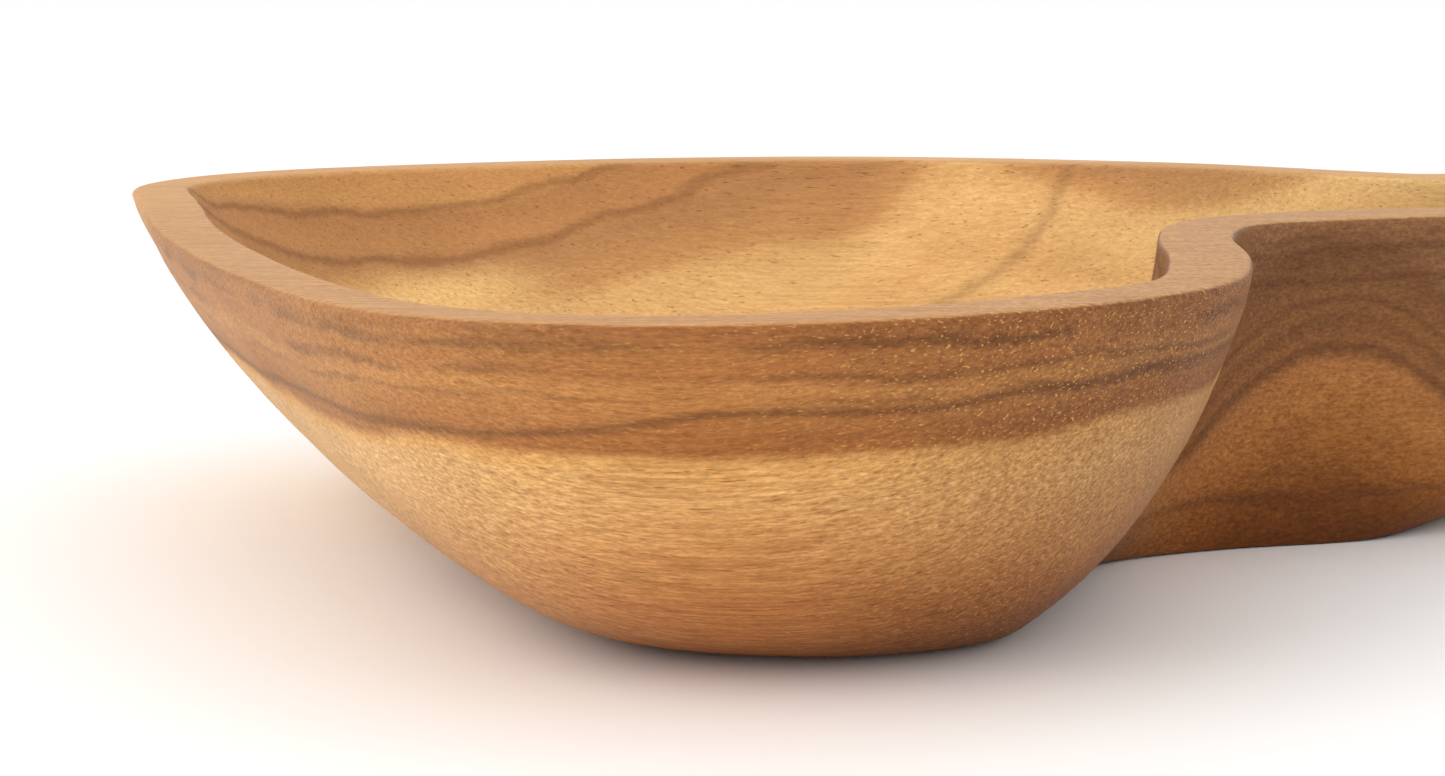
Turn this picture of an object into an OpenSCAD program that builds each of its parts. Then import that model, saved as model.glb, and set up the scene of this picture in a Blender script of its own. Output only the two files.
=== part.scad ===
// Chip and dip server: a dish carved from one block of teak, a large hollow for chips running
// into a small raised hollow for the dip, with a loose stoneware dip cup standing in the small one.
// Millimetres, +Z up, the table is Z = 0, the origin is the middle of the footprint on the table.

/* [Carved dish] */
// Overall length of the rim outline, along X
dish_length = 348; // [340:1:380]
// Height of the rim above the table
dish_height = 64; // [60:1:69]
// Thickness of the wood under the chip hollow
floor_t = 12; // [9:0.5:16]
// Multiplier on the width of the flat rim
rim_scale = 1; // [0.85:0.05:1.1]
// Radius that eases both edges of the rim
edge_r = 1.2; // [0.6:0.1:2]
// Height of the dip hollow's floor above the chip hollow's floor
dip_rise = 10; // [9.5:0.5:11]

/* [Dip cup] */
// Diameter over the cup's lip
cup_d = 56; // [50:1:57]
// Height of the cup
cup_h = 30; // [24:1:31]
// Diameter of the foot ring
cup_foot_d = 26; // [24:1:27]
// Thickness of the stoneware
cup_wall = 3.6; // [3:0.1:4]
// Clearance under the foot ring
cup_clear = 0.1; // [0.05:0.05:0.3]

/* [Hidden] */

teak = [0.70, 0.47, 0.27];
stoneware = [0.93, 0.91, 0.86];

// Stations round the dish, counter-clockwise from the end nearest the user. Each pairs a point of
// the outer rim with the point of the foot that its wall rises from, and gives the rim's width and
// how the wall swells: the smaller the last number, the fuller the wall is low down.
// [rim x, rim y, foot x, foot y, rim width, swell]
stations = [
    [ -56, -154,  -40,  -86, 12, 0.55],
    [ -17, -147,  -20,  -89, 14, 0.57],
    [  14, -129,    1,  -80, 15, 0.61],
    [  38, -103,    6,  -64, 13, 0.62],
    [  48,  -66,   12,  -40, 15, 0.58],
    [  50,  -30,   22,  -20, 14, 0.56],
    [  58,   -8,   36,   -8, 16, 0.56],
    [  78,    3,   58,    2, 18, 0.56],
    [ 104,   10,   82,    9, 17, 0.56],
    [ 136,   14,   94,   23, 14, 0.60],
    [ 166,   32,  107,   45, 12, 0.60],
    [ 180,   66,  128,   66, 12, 0.58],
    [ 173,   98,  130,   83, 12, 0.58],
    [ 150,  114,  122,   93, 12, 0.56],
    [ 128,  112,  109,   94, 12, 0.56],
    [ 113,  104,   94,   92, 12, 0.56],
    [  96,  113,   76,   97, 12, 0.56],
    [  60,  135,   42,  107, 12, 0.56],
    [   0,  151,   -6,  112, 12, 0.56],
    [ -52,  149,  -48,  108, 12, 0.56],
    [-104,  133,  -76,   94, 12, 0.56],
    [-148,  110,  -88,   76, 12, 0.56],
    [-167,   78,  -90,   50, 12, 0.58],
    [-161,   40,  -84,   20, 12, 0.62],
    [-144,  -32,  -75,  -21, 12, 0.62],
    [-117, -104,  -63,  -56, 12, 0.56],
    [ -92, -141,  -53,  -76, 12, 0.52],
];

samples = 5;      // outline points between two stations
wall_rings = 9;   // rings up the wall, inside and outside
floor_rings = 5;  // rings across the chip and dip floors

floor_centre = [4, 22];      // a point of the floor that sees its whole outline
dip_start = 62;              // where the floor begins to rise towards the dip hollow
dip_full = 98;               // where it has risen
cup_at = [124, 63];          // the cup's axis
foot_inset = 5;              // the floor's outline lies this far inside the foot

// Closed Catmull-Rom curve through the rows of a table, whatever their length
function catmull(a, b, c, d, t) =
    (2 * b + (c - a) * t + (2 * a - 5 * b + 4 * c - d) * t * t
        + (3 * b - a - 3 * c + d) * t * t * t) / 2;
function closed_curve(p) =
    let (n = len(p))
    [for (i = [0 : n - 1], k = [0 : samples - 1])
        catmull(p[(i + n - 1) % n], p[i], p[(i + 1) % n], p[(i + 2) % n], k / samples)];

// Left-hand unit normals of a closed outline, which point into the dish
function inward(p) =
    let (n = len(p))
    [for (i = [0 : n - 1])
        let (d = p[(i + 1) % n] - p[(i + n - 1) % n])
        [-d.y, d.x] / norm(d)];

curve = closed_curve(stations);
count = len(curve);

// The outlines, centred on the origin and scaled to the length asked for
raw_rim = [for (c = curve) [c[0], c[1]]];
xs = [for (p = raw_rim) p.x];
ys = [for (p = raw_rim) p.y];
middle = [(max(xs) + min(xs)) / 2, (max(ys) + min(ys)) / 2];
plan = dish_length / (max(xs) - min(xs));

rim = [for (p = raw_rim) (p - middle) * plan];
foot = [for (c = curve) ([c[2], c[3]] - middle) * plan];
rim_w = [for (c = curve) c[4] * rim_scale];
rim_in = inward(rim);
foot_in = inward(foot);

// How far the wall at outline point i has moved from foot to rim, at a height t from 0 to 1
function swell(i, t) = pow(1 - pow(1 - t, 1.25), curve[i][5]);
// Heights of the rings, closer together near the foot where the wall curves under
function level(k) = pow(k / wall_rings, 1.6);
function smooth(t) = let (s = min(max(t, 0), 1)) s * s * (3 - 2 * s);

// Height of the inside floor at a plan point
function floor_z(p) =
    floor_t + dip_rise * smooth((p.x / plan + middle.x - dip_start) / (dip_full - dip_start));

shoulder = dish_height - edge_r;
function inset(i, d) = rim[i] + rim_in[i] * d;
function at(p, z) = [p.x, p.y, z];
function outer_point(i, t) = at(foot[i] + (inset(i, 0) - foot[i]) * swell(i, t), shoulder * t);
// The floor's outline keeps the floor's thickness over the rising underside of the dip hollow
function floor_edge(i) =
    let (lift = floor_z(foot[i]) - floor_t)
    foot[i] + (rim[i] - foot[i]) * swell(i, lift / dish_height) + foot_in[i] * foot_inset;
function inner_point(i, t) =
    let (f = floor_edge(i), z = floor_z(f))
    at(f + (inset(i, rim_w[i]) - f) * swell(i, t), z + (shoulder - z) * t);
function floor_point(i, s) =
    let (p = (floor_centre - middle) * plan * (1 - s) + floor_edge(i) * s)
    at(p, floor_z(p));

// Distance in from the rim's edge, and drop below its top, along the eased edge
ease = [for (a = [30, 60]) [edge_r * (1 - cos(a)), edge_r * (1 - sin(a))]];

body_rings = concat(
    [for (k = [0 : wall_rings]) [for (i = [0 : count - 1]) outer_point(i, level(k))]],
    [for (e = ease) [for (i = [0 : count - 1]) at(inset(i, e.x), dish_height - e.y)]],
    [[for (i = [0 : count - 1]) at(inset(i, edge_r), dish_height)]],
    [[for (i = [0 : count - 1]) at(inset(i, rim_w[i] - edge_r), dish_height)]],
    [for (j = [1, 0]) [for (i = [0 : count - 1])
        at(inset(i, rim_w[i] - ease[j].x), dish_height - ease[j].y)]],
    [for (k = [wall_rings : -1 : 0]) [for (i = [0 : count - 1]) inner_point(i, level(k))]],
    [for (k = [floor_rings - 1 : -1 : 1]) [for (i = [0 : count - 1]) floor_point(i, k / floor_rings)]]
);

// Closed skin over a stack of rings, with a middle point at each end
module skin(rings, first, last) {
    n = len(rings[0]);
    m = len(rings);
    points = concat([for (r = rings, p = r) p], [first, last]);
    sides = [for (k = [0 : m - 2], i = [0 : n - 1])
        let (a = k * n + i, b = k * n + (i + 1) % n)
        each [[a, b + n, b], [a, a + n, b + n]]];
    ends = [for (i = [0 : n - 1])
        each [[i, (i + 1) % n, m * n], [(m - 1) * n + (i + 1) % n, (m - 1) * n + i, m * n + 1]]];
    polyhedron(points, concat(sides, ends), convexity = 8);
}

module server_body() {
    hub = (floor_centre - middle) * plan;
    color(teak)
        skin(body_rings, at(hub, 0), at(hub, floor_z(hub)));
}

// Half profile of the cup: foot ring, flared wall with a rounded lip, and a dished inside
module cup_profile() {
    foot_r = cup_foot_d / 2;
    top_r = cup_d / 2;
    lip_r = cup_wall / 2;
    foot_h = 3;         // height of the foot ring
    recess = 1.5;       // hollow under the cup, inside the foot ring
    step = 1;           // the wall starts this far outside the foot ring
    flat_r = 6;         // flat middle of the inside
    slices = 14;        // straight runs along each curve of the wall
    lip_z = cup_h - lip_r;
    belly_r = foot_r + step;
    inner_r = top_r - cup_wall;
    inner_z = foot_h + cup_wall;
    belly = [for (k = [0 : slices])
        let (a = 90 * k / slices)
        [belly_r + (top_r - belly_r) * sin(a), foot_h + (lip_z - foot_h) * (1 - cos(a))]];
    lip = [for (a = [20 : 20 : 160]) [top_r - lip_r + lip_r * cos(a), lip_z + lip_r * sin(a)]];
    well = [for (k = [0 : slices])
        let (a = 90 * k / slices)
        [flat_r + (inner_r - flat_r) * cos(a), lip_z - (lip_z - inner_z) * sin(a)]];
    polygon(concat(
        [[0, recess], [foot_r - cup_wall - step, recess], [foot_r - cup_wall, 0]],
        [[foot_r, 0], [foot_r, foot_h]],
        belly, lip, well, [[0, inner_z]]));
}

module dip_cup() {
    seat = (cup_at - middle) * plan;
    color(stoneware)
        translate(at(seat, floor_t + dip_rise + cup_clear))
            rotate_extrude($fn = 96)
                cup_profile();
}

server_body();
dip_cup();
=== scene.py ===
"""Looks of the chip and dip server: carved teak dish, loose stoneware cup, camera and studio."""
import math

import bpy
import numpy as np
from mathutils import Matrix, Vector, noise


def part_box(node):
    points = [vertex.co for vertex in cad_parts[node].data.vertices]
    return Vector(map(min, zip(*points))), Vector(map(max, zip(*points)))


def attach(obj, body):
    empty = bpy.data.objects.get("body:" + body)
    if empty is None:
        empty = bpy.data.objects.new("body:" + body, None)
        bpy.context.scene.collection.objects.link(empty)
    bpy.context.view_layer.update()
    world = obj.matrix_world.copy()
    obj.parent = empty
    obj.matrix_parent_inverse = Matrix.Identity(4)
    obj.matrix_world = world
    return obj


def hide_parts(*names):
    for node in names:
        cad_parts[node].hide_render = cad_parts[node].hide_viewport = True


MM = 0.001

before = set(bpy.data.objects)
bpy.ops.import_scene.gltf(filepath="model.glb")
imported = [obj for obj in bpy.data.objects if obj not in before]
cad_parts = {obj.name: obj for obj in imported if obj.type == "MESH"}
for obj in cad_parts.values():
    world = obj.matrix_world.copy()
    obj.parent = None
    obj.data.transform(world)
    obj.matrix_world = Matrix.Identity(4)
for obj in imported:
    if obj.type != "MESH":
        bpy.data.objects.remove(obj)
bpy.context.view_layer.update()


# ---------------------------------------------------------------- the carved dish's shape

# The dish's stations, as the CAD source has them, counter-clockwise from the end nearest the user.
# Millimetres: rim x, rim y, foot x, foot y, rim width, and the wall's swell
STATIONS = [
    (-56, -154, -40, -86, 12, 0.55),
    (-17, -147, -20, -89, 14, 0.57),
    (14, -129, 1, -80, 15, 0.61),
    (38, -103, 6, -64, 13, 0.62),
    (48, -66, 12, -40, 15, 0.58),
    (50, -30, 22, -20, 14, 0.56),
    (58, -8, 36, -8, 16, 0.56),
    (78, 3, 58, 2, 18, 0.56),
    (104, 10, 82, 9, 17, 0.56),
    (136, 14, 94, 23, 14, 0.60),
    (166, 32, 107, 45, 12, 0.60),
    (180, 66, 128, 66, 12, 0.58),
    (173, 98, 130, 83, 12, 0.58),
    (150, 114, 122, 93, 12, 0.56),
    (128, 112, 109, 94, 12, 0.56),
    (113, 104, 94, 92, 12, 0.56),
    (96, 113, 76, 97, 12, 0.56),
    (60, 135, 42, 107, 12, 0.56),
    (0, 151, -6, 112, 12, 0.56),
    (-52, 149, -48, 108, 12, 0.56),
    (-104, 133, -76, 94, 12, 0.56),
    (-148, 110, -88, 76, 12, 0.56),
    (-167, 78, -90, 50, 12, 0.58),
    (-161, 40, -84, 20, 12, 0.62),
    (-144, -32, -75, -21, 12, 0.62),
    (-117, -104, -63, -56, 12, 0.56),
    (-92, -141, -53, -76, 12, 0.52),
]
FLOOR_T = 12          # wood under the chip hollow
DIP_RISE = 10         # step up to the dip hollow's floor
DIP_START, DIP_FULL = 62, 98
FLOOR_CENTRE = np.array([4.0, 22.0])
FOOT_INSET = 5
EDGE_R = 1.2          # eased edges of the rim

SAMPLES = 16          # outline points between two stations
WALL_RINGS = 44
EASE_RINGS = 5
TOP_RINGS = 4
FLOOR_RINGS = 18
SOFTEN_PASSES = 12    # evens out the small jumps of curvature at the stations
RING_CROWDING = 1.6   # brings the wall's rings closer together near the foot

CARVE_DEPTH = 0.45 * MM
CARVE_SIZE = 17 * MM


def closed_curve(rows, samples):
    """Closed Catmull-Rom curve through the rows, whatever their length."""
    p = np.array(rows, float)
    a, b, c, d = np.roll(p, 1, 0), p, np.roll(p, -1, 0), np.roll(p, -2, 0)
    out = []
    for k in range(samples):
        t = k / samples
        out.append((2 * b + (c - a) * t + (2 * a - 5 * b + 4 * c - d) * t * t
                    + (3 * b - a - 3 * c + d) * t ** 3) / 2)
    return np.stack(out, 1).reshape(-1, p.shape[1])


def soften(curve, passes):
    for _ in range(passes):
        curve = (np.roll(curve, 1, 0) + 2 * curve + np.roll(curve, -1, 0)) / 4
    return curve


def inward(outline):
    d = np.roll(outline, -1, 0) - np.roll(outline, 1, 0)
    return np.stack([-d[:, 1], d[:, 0]], 1) / np.linalg.norm(d, axis=1)[:, None]


def swell(t, power):
    """How far the wall has moved from its foot to its rim at a height from 0 to 1."""
    return (1 - (1 - t) ** 1.25) ** power


def smooth(t):
    s = np.clip(t, 0, 1)
    return s * s * (3 - 2 * s)


def dish_rings():
    """The dish's skin as a stack of rings, from the foot over the rim to the inside floor."""
    curve = soften(closed_curve(STATIONS, SAMPLES), SOFTEN_PASSES)
    raw = curve[:, :2]
    middle = (raw.max(0) + raw.min(0)) / 2
    box_lo, box_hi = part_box("server_body")
    height = box_hi.z / MM
    scale = min((box_hi[k] - box_lo[k]) / MM / np.ptp(raw[:, k]) for k in (0, 1))
    rim, foot = (raw - middle) * scale, (curve[:, 2:4] - middle) * scale
    width, power = curve[:, 4:5], curve[:, 5:6]
    rim_in, foot_in = inward(rim), inward(foot)
    shoulder = height - EDGE_R

    def ring(plan, z):
        return np.column_stack([plan, np.broadcast_to(z, len(plan))])

    def floor_z(plan):
        x = plan[:, 0] / scale + middle[0]
        return FLOOR_T + DIP_RISE * smooth((x - DIP_START) / (DIP_FULL - DIP_START))

    lift = (floor_z(foot) - FLOOR_T)[:, None]
    edge = foot + (rim - foot) * swell(lift / height, power) + foot_in * FOOT_INSET
    edge_z = floor_z(edge)
    hub = (FLOOR_CENTRE - middle) * scale
    levels = (np.arange(WALL_RINGS + 1) / WALL_RINGS) ** RING_CROWDING

    rings = [ring(hub + (foot - hub) * s, 0) for s in np.linspace(0, 1, FLOOR_RINGS)[1:-1]]
    rings += [ring(foot + (rim - foot) * swell(t, power), shoulder * t) for t in levels]
    eases = [math.radians(90 * k / EASE_RINGS) for k in range(1, EASE_RINGS + 1)]
    for a in eases:
        across = EDGE_R * (1 - math.cos(a))
        rings.append(ring(rim + rim_in * across, shoulder + EDGE_R * math.sin(a)))
    for k in range(1, TOP_RINGS):
        across = EDGE_R + (width - 2 * EDGE_R) * k / TOP_RINGS
        rings.append(ring(rim + rim_in * across, height))
    for a in reversed(eases):
        across = width - EDGE_R * (1 - math.cos(a))
        rings.append(ring(rim + rim_in * across, shoulder + EDGE_R * math.sin(a)))
    lip = rim + rim_in * width
    for t in levels[::-1]:
        rings.append(ring(edge + (lip - edge) * swell(t, power), edge_z + (shoulder - edge_z) * t))
    for s in np.linspace(1, 0, FLOOR_RINGS)[1:-1]:
        plan = hub + (edge - hub) * s
        rings.append(ring(plan, floor_z(plan)))
    ends = [(*hub, 0), (*hub, float(floor_z(hub[None])[0]))]
    return rings, ends


def skin(name, rings, ends):
    """One closed mesh over a stack of rings, with a middle point at each end."""
    n, m = len(rings[0]), len(rings)
    points = np.vstack(rings + [np.array(ends, float)]) * MM
    faces = []
    for k in range(m - 1):
        for i in range(n):
            j = (i + 1) % n
            faces.append((k * n + i, k * n + j, (k + 1) * n + j, (k + 1) * n + i))
    for i in range(n):
        j = (i + 1) % n
        faces.append((m * n, j, i))
        faces.append((m * n + 1, (m - 1) * n + i, (m - 1) * n + j))
    mesh = bpy.data.meshes.new(name)
    mesh.from_pydata(points.tolist(), [], faces)
    mesh.update()
    mesh.shade_smooth()
    obj = bpy.data.objects.new(name, mesh)
    bpy.context.scene.collection.objects.link(obj)
    return obj


def hand_carve(obj, depth, size):
    """Shallow unevenness on the walls, level with the rim and the foot, inside the CAD box."""
    low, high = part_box("server_body")
    vertices = obj.data.vertices
    places, normals = np.empty(len(vertices) * 3), np.empty(len(vertices) * 3)
    vertices.foreach_get("co", places)
    vertices.foreach_get("normal", normals)
    places, normals = places.reshape(-1, 3), normals.reshape(-1, 3)
    spots = [Vector(place) / size for place in places]
    push = [noise.noise(spot) + noise.noise(spot * 3.1) / 3 for spot in spots]
    normals[:, 2] = 0
    places += normals * np.array(push)[:, None] * depth
    vertices.foreach_set("co", np.clip(places, low, high).ravel())
    obj.data.update()


# ---------------------------------------------------------------- shader helpers

class Shader:
    """A material with short ways to add and join nodes."""

    def __init__(self, name):
        self.material = bpy.data.materials.new(name)
        self.material.use_nodes = True
        self.tree = self.material.node_tree
        self.bsdf = self.tree.nodes["Principled BSDF"]
        self.coords = self.node("ShaderNodeTexCoord").outputs["Object"]

    def node(self, kind, **settings):
        n = self.tree.nodes.new(kind)
        for key, value in settings.items():
            setattr(n, key, value)
        return n

    def put(self, socket, value):
        if isinstance(value, bpy.types.NodeSocket):
            self.tree.links.new(value, socket)
        else:
            socket.default_value = value

    def math(self, operation, a, b=0.0):
        n = self.node("ShaderNodeMath", operation=operation)
        self.put(n.inputs[0], a)
        self.put(n.inputs[1], b)
        return n.outputs[0]

    def add(self, *values):
        """The sum of two or more values, added from the left."""
        total = values[0]
        for value in values[1:]:
            total = self.math("ADD", total, value)
        return total

    def times(self, *values):
        """The product of two or more values."""
        product = values[0]
        for value in values[1:]:
            product = self.math("MULTIPLY", product, value)
        return product

    def minus(self, a, b):
        return self.math("SUBTRACT", a, b)

    def rest_of(self, mask):
        """1 where the mask is 0, and 0 where it is 1."""
        return self.math("SUBTRACT", 1, mask)

    def step(self, value, low, high, low_to=0.0, high_to=1.0, kind="SMOOTHSTEP"):
        n = self.node("ShaderNodeMapRange", interpolation_type=kind)
        self.put(n.inputs["Value"], value)
        self.put(n.inputs["From Min"], low)
        self.put(n.inputs["From Max"], high)
        self.put(n.inputs["To Min"], low_to)
        self.put(n.inputs["To Max"], high_to)
        return n.outputs["Result"]

    def split(self, vector):
        n = self.node("ShaderNodeSeparateXYZ")
        self.put(n.inputs[0], vector)
        return n.outputs

    def join(self, x, y, z):
        n = self.node("ShaderNodeCombineXYZ")
        for socket, value in zip(n.inputs, (x, y, z)):
            self.put(socket, value)
        return n.outputs[0]

    def stretched(self, sizes_mm):
        """The object's coordinates in units of a grain size given along X, Y and Z."""
        n = self.node("ShaderNodeVectorMath", operation="MULTIPLY")
        self.put(n.inputs[0], self.coords)
        self.put(n.inputs[1], [1 / (s * MM) for s in sizes_mm])
        return n.outputs[0]

    def grains(self, sizes_mm, detail=2.0, roughness=0.5):
        """Noise about 0.5, with grains of the given sizes along X, Y and Z."""
        n = self.node("ShaderNodeTexNoise")
        self.put(n.inputs["Vector"], self.stretched(sizes_mm))
        self.put(n.inputs["Scale"], 1.0)
        self.put(n.inputs["Detail"], detail)
        self.put(n.inputs["Roughness"], roughness)
        return n.outputs["Fac"]

    def ramp(self, value, stops):
        n = self.node("ShaderNodeValToRGB")
        elements = n.color_ramp.elements
        while len(elements) < len(stops):
            elements.new(0.5)
        for element, (place, colour) in zip(elements, stops):
            element.position = place
            element.color = (*colour, 1)
        self.put(n.inputs[0], value)
        return n.outputs[0]

    def mix(self, factor, a, b, kind="MIX"):
        n = self.node("ShaderNodeMix", data_type="RGBA", blend_type=kind)
        self.put(n.inputs["Factor"], factor)
        for socket, value in ((n.inputs[6], a), (n.inputs[7], b)):
            self.put(socket, (*value, 1) if isinstance(value, tuple) else value)
        return n.outputs[2]

    def tint(self, colour, amount, factor=1.0):
        """The colour multiplied by another one."""
        return self.mix(factor, colour, amount, "MULTIPLY")

    def bump(self, height, distance_mm):
        n = self.node("ShaderNodeBump")
        self.put(n.inputs["Strength"], 1.0)
        self.put(n.inputs["Distance"], distance_mm * MM)
        self.put(n.inputs["Height"], height)
        return n.outputs[0]


def srgb(r, g, b):
    """A colour given in 0-255 display values, as linear light."""
    def linear(v):
        return v / 255 / 12.92 if v <= 10 else ((v / 255 + 0.055) / 1.055) ** 2.4
    return tuple(linear(v) for v in (r, g, b))


# ---------------------------------------------------------------- teak

# Display colours across the growth layers, against millimetres above the layer where the brown
# heartwood gives way to paler wood. The two sides of the dish and the dip end differ in tone; the
# dip end's dark tones also carry painted shade, for a wall that sits in shadow.
# The lowest near-side stops, darker towards the bottom, are partly painted shade.
NEAR_LAYERS_AND_SHADE = [
    (-44, (170, 110, 64)), (-28, (186, 124, 72)), (-16, (204, 148, 92)), (-8, (214, 162, 105)),
    (-1.5, (214, 160, 98)), (0.7, (160, 100, 50)), (3, (162, 102, 54)), (10, (184, 126, 72)),
    (13, (168, 108, 60)), (17, (168, 110, 61)), (19.5, (150, 94, 52)), (21, (160, 102, 56)),
]
FAR_LAYERS = [
    (-60, (218, 172, 117)), (-30, (224, 181, 125)), (-22, (218, 172, 117)), (-14, (230, 187, 131)),
    (-10, (224, 180, 125)), (-7, (200, 150, 99)), (-0.5, (182, 134, 92)), (3, (194, 142, 95)),
    (10, (182, 132, 89)), (13, (202, 152, 100)), (21, (200, 150, 99)),
]
DIP_LAYERS_AND_SHADE = [
    (-36, (112, 62, 18)), (-25, (132, 78, 28)), (-17, (152, 94, 42)), (-6, (168, 108, 56)),
    (0, (162, 104, 58)), (2, (126, 80, 44)), (5, (136, 88, 50)), (8, (120, 76, 42)),
    (11, (134, 88, 50)), (20, (116, 74, 44)), (27, (134, 92, 60)),
]
STREAK = srgb(92, 50, 24)




class Teak(Shader):
    """Solid teak: tones come from the place in the block, in millimetres, with painted shade and
    painted sheen mixed into them.
    """

    def __init__(self):
        super().__init__("teak")
        self.x, self.y, self.z = (self.times(c, 1 / MM) for c in self.split(self.coords))
        x, y = self.x, self.y
        # Masks for the far side, the near side and the outside of the dip end
        self.far = self.step(y, -30, 70)
        self.near = self.rest_of(self.far)
        self.dip_end = self.times(
            self.step(x, 12, 42), self.step(y, -48, -22), self.step(y, 16, 48, 1, 0))

        # Bends of the layers, from long ones to the frayed edge of a streak
        self.slow = self.add(self.grains((110, 40, 36), detail=1.0), -0.5)
        self.wavy = self.add(self.grains((30, 11, 10)), -0.5)
        self.fray = self.add(self.grains((6, 1.1, 1.1)), -0.5)
        warp = self.add(self.times(self.slow, self.step(self.far, 0, 1, 2.5, 6)),
                        self.times(self.wavy, 3.0), self.times(self.fray, 1.6))
        self.bent = self.add(warp, self.times(self.wavy, 2.5))

        # Height above the layer where the brown heartwood gives way to paler wood
        self.layer = self.add(self.minus(self.z, self.heartwood_edge()), warp)
        self.pale = self.step(self.layer, -4, -1, 1, 0)

        colour = self.layers()
        for change in (self.streaks, self.slow_tones, self.painted_rim_sheen, self.fibres):
            colour = change(colour)
        self.put(self.bsdf.inputs["Base Color"], self.tint(colour, (1.0, 0.985, 0.86)))
        self.bsdf.inputs["Specular IOR Level"].default_value = 0.2

    def heartwood_edge(self):
        """Nearly level along the near side, rising in a hump and then steeply at the far side,
        and arched at the dip end."""
        x, y = self.x, self.y
        ripple = self.math("COSINE", self.times(self.add(x, 94), 2 * math.pi / 37))
        ripple = self.times(ripple, self.step(x, -95, -70, 1.3, 0))
        near = self.add(ripple, 43.2, self.step(x, -5, 25, 0, 3))
        hump = self.add(self.step(y, -20, 70, 0, 6.5), self.step(y, 80, 116, 0, -6.5))
        past = self.math("MAXIMUM", self.add(y, -116), 0)
        far = self.add(hump, self.times(past, past, 0.029), 43,
                       self.step(x, -26, 12, 0, 18), self.step(x, 40, 110, 0, 14))
        off = self.add(x, -69)
        arch = self.minus(36.5, self.times(off, off, 0.02))
        return self.blend(self.dip_end, self.blend(self.far, near, far), arch)

    def blend(self, mask, a, b):
        return self.add(self.times(a, self.rest_of(mask)), self.times(b, mask))

    def band(self, value, width):
        """1 where the value is zero, falling to 0 at the width either side."""
        return self.step(self.math("ABSOLUTE", value), 0, width, 1, 0)

    def vary(self, colour, amount, weights):
        """The colour made lighter or darker by the amount, weighted for red, green and blue."""
        gains = [self.add(1, self.times(amount, weight)) for weight in weights]
        return self.tint(colour, self.join(*gains))

    def layers(self):
        def tones(stops):
            low, high = stops[0][0], stops[-1][0]
            stops = [((place - low) / (high - low), srgb(*tone)) for place, tone in stops]
            return self.ramp(self.step(self.layer, low, high, kind="LINEAR"), stops)

        sides = self.mix(self.far, tones(NEAR_LAYERS_AND_SHADE), tones(FAR_LAYERS))
        # The dip end's tones hold the layer bands darkened overall as painted shade.
        return self.mix(self.dip_end, sides, tones(DIP_LAYERS_AND_SHADE))

    def streaks(self, colour):
        """Single dark streaks that cross the layers."""
        x, y, z = self.x, self.y, self.z
        near, far, dip_end, bent = self.near, self.far, self.dip_end, self.bent
        patchy = self.times(near, self.step(self.grains((45, 16, 16), detail=1.0), 0.35, 0.6))
        far_left = self.times(far, self.step(x, -38, -22, 1, 0))
        across = self.add(y, -112)
        short, past = self.math("MINIMUM", across, 0), self.math("MAXIMUM", across, 0)

        def level(height):
            return self.add(z, -height, bent)

        def bow(height, near_rise, far_rise):
            rise = self.add(self.times(short, short, near_rise), self.times(past, past, far_rise))
            return self.add(self.minus(self.add(z, -height), rise), bent)

        rising = self.add(self.step(x, -92, -44, 45.4, 49.6), self.step(x, -22, 25, 0, 3))
        rising = self.add(self.minus(z, rising), self.times(bent, 0.5))
        upright = self.minus(self.minus(y, self.times(z, 0.074)), self.times(x, 0.1))
        upright = self.add(upright, self.times(bent, 0.5), -124.7)
        # Distance from the streak, its width, how dark it is and where it shows
        rows = [
            (bow(54.3, 0.0065, 0.0195), 1.7, 0.34, far_left),
            (bow(43.0, 0.0125, 0.0245), 1.9, 0.36, far_left),
            (rising, 1.4, 0.58, near),
            (level(60.4), 1.6, 0.62, patchy),
            (level(51.6), 1.0, 0.42, patchy),
            (level(55.6), 1.3, 0.48, patchy),
            (level(57.5), 2.0, 0.50, dip_end),
            (self.add(self.layer, -3.2), 1.5, 0.42, dip_end),
            (self.add(self.layer, -12.5), 1.6, 0.42, dip_end),
            (level(10), 1.8, 0.40, dip_end),
            (upright, 1.3, 0.26, self.times(far, self.step(x, -40, -10))),
        ]
        for distance, width, strength, where in rows:
            shade = self.times(self.band(distance, width), where, strength)
            colour = self.mix(shade, colour, STREAK)
        return colour

    def slow_tones(self, colour):
        """Painted sheen paling the left end, painted shade greying the wall towards the pinch and
        darkening it low down, and cloudy tone.
        """
        x, z, near, far = self.x, self.z, self.near, self.far
        # Painted sheen: the near wall's left end is mixed paler, most of all in the pale band.
        painted_sheen_amount = self.add(0.14, self.times(self.pale, 0.32))
        left = self.times(self.step(x, -45, -130), near, painted_sheen_amount)
        colour = self.mix(left, colour, srgb(214, 188, 152))
        # Painted shade: the near wall is greyed and darkened towards the pinch, away from the
        # light.
        pinch = self.times(self.step(x, -60, 30), near, self.rest_of(self.dip_end))
        colour = self.tint(colour, (0.60, 0.585, 0.62), pinch)
        # Painted shade: the near wall is darkened low down, where it turns under.
        under = self.times(self.step(z, 4, 22, 1, 0), self.step(x, -60, 10), near)
        colour = self.tint(colour, (0.62, 0.52, 0.38), under)
        cloud = self.ramp(self.grains((38, 20, 14)),
                          [(0.3, (0.93, 0.92, 0.90)), (0.7, (1.07, 1.07, 1.08))])
        colour = self.tint(colour, cloud)
        patch = self.times(self.band(self.add(x, 112), 34),
                           self.band(self.add(z, -37, self.times(self.bent, 0.5)), 7), far)
        colour = self.mix(self.times(patch, 0.85), colour, srgb(246, 206, 146))
        return self.tint(colour, (0.92, 0.985, 1.03), self.times(far, self.step(x, 20, 75)))

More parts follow.
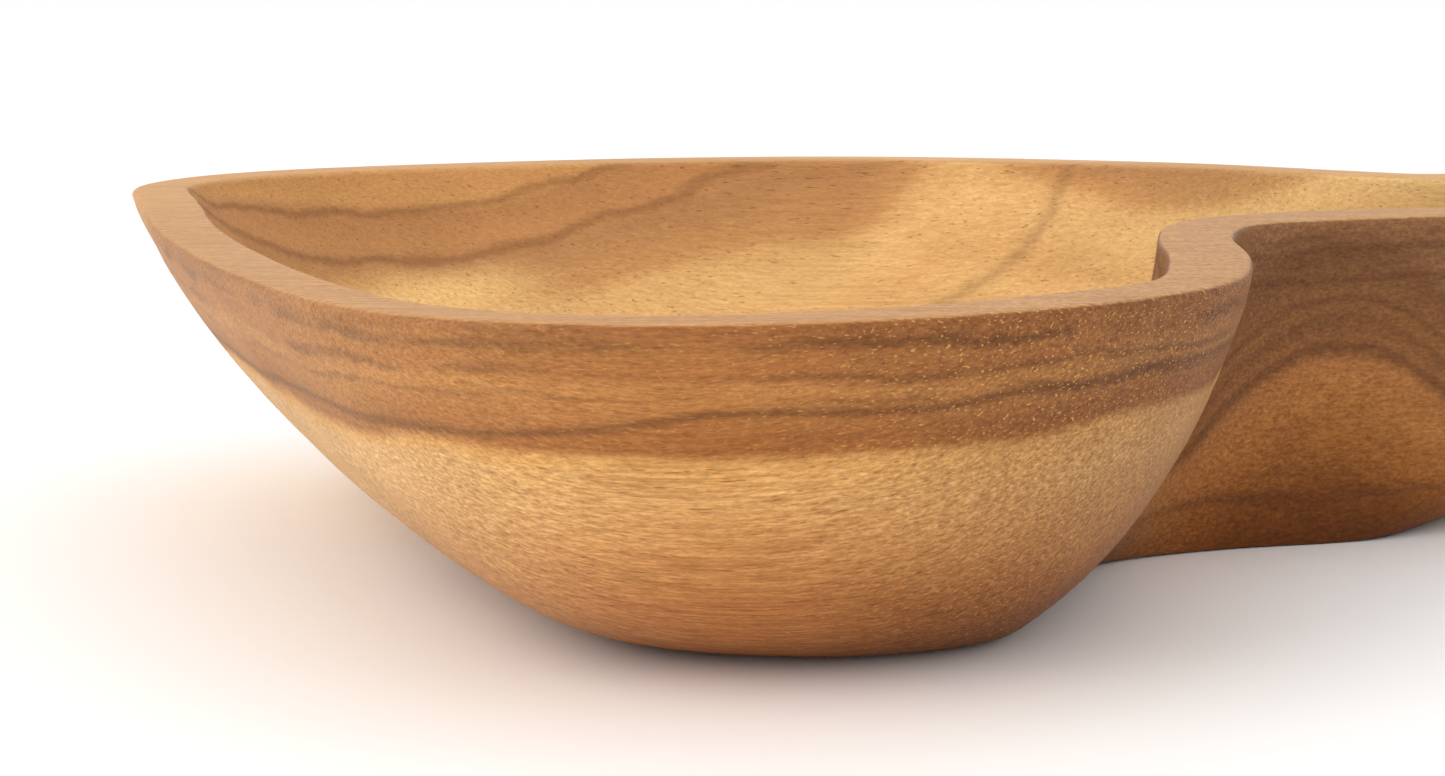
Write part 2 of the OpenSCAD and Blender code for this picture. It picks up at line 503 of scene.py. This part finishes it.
    def painted_rim_sheen(self, colour):
        """The flat top of the rim is painted paler: a painted sheen where light falls on the
        upward-facing faces.
        """
        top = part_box("server_body")[1].z / MM
        up = self.split(self.node("ShaderNodeNewGeometry").outputs["Normal"])[2]
        rim = self.times(self.step(self.z, top - 1.1, top - 0.3), self.step(up, 0.6, 0.95))
        return self.mix(self.times(rim, 0.72), colour, srgb(200, 150, 100))

    def fibres(self, colour):
        """Fibres along X with short pores cut lengthwise, dots of end grain at the right, fine
        rippled lines in the pale wood and golden flecks; sets the roughness and bump as well."""
        x, near, far = self.x, self.near, self.far
        fibre = self.grains((24, 0.75, 0.75), detail=3.0, roughness=0.62)
        spread = self.step(fibre, 0.28, 0.72, -1, 1, "LINEAR")
        strength = self.times(self.add(0.17, self.times(self.pale, 0.10)),
                              self.step(far, 0, 1, 1, 0.45))
        colour = self.vary(colour, self.times(spread, strength), (1, 1.35, 1.7))

        grit = self.grains((1.6, 0.42, 0.42), roughness=0.7)
        rough = self.times(self.step(grit, 0.3, 0.7, -0.24, 0.22, "LINEAR"),
                           self.step(far, 0, 1, 1, 0.5))
        colour = self.vary(colour, rough, (1, 1, 1))

        dot = self.step(self.grains((0.95, 0.6, 0.6), detail=1.0), 0.32, 0.68, -1, 1, "LINEAR")
        end_grain = self.times(self.step(x, -50, 10), near, dot)
        colour = self.vary(colour, end_grain, (0.20, 0.22, 0.22))

        turns = self.add(self.times(self.z, 0.62), self.times(self.wavy, 5.0),
                         self.times(self.fray, 1.6))
        lines = self.math("SINE", self.times(turns, 2 * math.pi))
        where = self.times(self.pale, near, self.step(x, -125, -100), self.step(x, -45, 5, 1, 0))
        lines = self.times(lines, self.step(self.slow, -0.25, 0.25, 0.2, 1), where, 0.11)
        colour = self.vary(colour, lines, (0.75, 1, 1.6))

        pore = self.step(self.grains((3.6, 0.5, 0.5), detail=1.0), 0.66, 0.76)
        colour = self.mix(self.times(pore, 0.50), colour, srgb(126, 66, 32))
        fleck = self.step(self.grains((1.1, 0.36, 0.36), detail=0.0), 0.67, 0.80)
        where = self.add(0.2, self.times(self.step(x, -70, 5), 0.45))
        gold = self.times(fleck, where, self.rest_of(self.dip_end), near)
        colour = self.mix(gold, colour, srgb(226, 172, 100))

        smoother = self.step(fibre, 0.2, 0.8, 0.62, 0.50, "LINEAR")
        self.put(self.bsdf.inputs["Roughness"], smoother)
        relief = self.add(self.times(fibre, 0.6), self.times(grit, 0.25), self.times(pore, -0.7))
        self.put(self.bsdf.inputs["Normal"], self.bump(relief, 0.06))
        return colour


# ---------------------------------------------------------------- stoneware

def stoneware_material():
    """Speckled glaze that runs thin at the lip, over a bare clay foot, with throwing rings."""
    s = Shader("stoneware")
    low, high = (corner.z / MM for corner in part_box("dip_cup"))
    ring_pitch = 2.6
    z = s.times(s.split(s.coords)[2], 1 / MM)
    tone = s.grains((16, 16, 9), detail=3.0)
    glaze = s.mix(s.step(tone, 0.35, 0.65), srgb(228, 221, 204), srgb(242, 237, 225))
    speck = s.step(s.grains((0.8, 0.8, 0.8), detail=1.0), 0.68, 0.75)
    glaze = s.mix(s.times(speck, 0.75), glaze, srgb(136, 106, 78))
    run = s.add(z, s.step(tone, 0.2, 0.8, -0.8, 0.8, "LINEAR"))
    thin = s.step(run, high - 1.6, high - 0.2)
    glaze = s.mix(s.times(thin, 0.75), glaze, srgb(178, 138, 98))
    clay = s.mix(s.grains((0.6, 0.6, 0.6), detail=3.0), srgb(186, 154, 122), srgb(208, 180, 148))
    bare = s.step(run, low + 2.2, low + 2.9, 1, 0)
    s.put(s.bsdf.inputs["Base Color"], s.mix(bare, glaze, clay))
    s.put(s.bsdf.inputs["Roughness"], s.step(bare, 0, 1, 0.24, 0.8))
    rings = s.math("SINE", s.times(s.add(z, s.times(tone, 1.5)), 2 * math.pi / ring_pitch))
    relief = s.add(s.times(rings, 0.35), s.times(tone, 1.2))
    s.put(s.bsdf.inputs["Normal"], s.bump(relief, 0.12))
    return s.material


# ---------------------------------------------------------------- pieces

def carve_dish():
    rings, ends = dish_rings()
    dish = skin("carved_dish", rings, ends)
    hand_carve(dish, CARVE_DEPTH, CARVE_SIZE)
    dish.data.materials.append(Teak().material)
    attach(dish, "dish")
    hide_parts("server_body")


def glaze_cup():
    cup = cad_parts["dip_cup"]
    cup.data.materials.clear()
    cup.data.materials.append(stoneware_material())


# ---------------------------------------------------------------- camera, floor and light

CAMERA_PLACE = (-0.0495, -0.6416, 0.128)
CAMERA_TILT_DOWN = math.radians(8.53)
CAMERA_LENS, CAMERA_SENSOR = 84.2, 36


def add_camera():
    data = bpy.data.cameras.new("camera")
    data.lens, data.sensor_width = CAMERA_LENS, CAMERA_SENSOR
    data.clip_start, data.clip_end = 0.01, 50
    camera = bpy.data.objects.new("camera", data)
    camera.location = CAMERA_PLACE
    camera.rotation_euler = (math.pi / 2 - CAMERA_TILT_DOWN, 0, 0)
    bpy.context.scene.collection.objects.link(camera)
    bpy.context.scene.camera = camera


def add_floor():
    """A wide pale plane, a hair under the dish so that the two faces do not fight."""
    bpy.ops.mesh.primitive_plane_add(size=40, location=(0, 0, -0.2 * MM))
    floor = bpy.context.object
    floor.name = "floor"
    s = Shader("floor")
    s.bsdf.inputs["Base Color"].default_value = (0.96, 0.96, 0.96, 1)
    s.bsdf.inputs["Roughness"].default_value = 0.9
    s.bsdf.inputs["Specular IOR Level"].default_value = 0.1
    floor.data.materials.append(s.material)


def add_softbox(name, place, size, power, colour):
    """A square soft light aimed at the dish."""
    data = bpy.data.lights.new(name, "AREA")
    data.shape, data.size = "SQUARE", size
    data.energy, data.color = power, colour
    light = bpy.data.objects.new(name, data)
    light.location = place
    light.rotation_euler = (-Vector(place)).to_track_quat("-Z", "Y").to_euler()
    bpy.context.scene.collection.objects.link(light)


def add_studio():
    world = bpy.data.worlds.new("studio")
    world.use_nodes = True
    background = world.node_tree.nodes["Background"]
    background.inputs["Color"].default_value = (1, 1, 1, 1)
    background.inputs["Strength"].default_value = 1.03
    scene = bpy.context.scene
    scene.world = world
    add_softbox("softbox_left", (-1.3, -0.9, 1.1), 1.2, 12, (1.0, 0.98, 0.95))
    scene.view_settings.view_transform = "Standard"
    scene.view_settings.look = "None"


carve_dish()
glaze_cup()
add_floor()
add_studio()
add_camera()
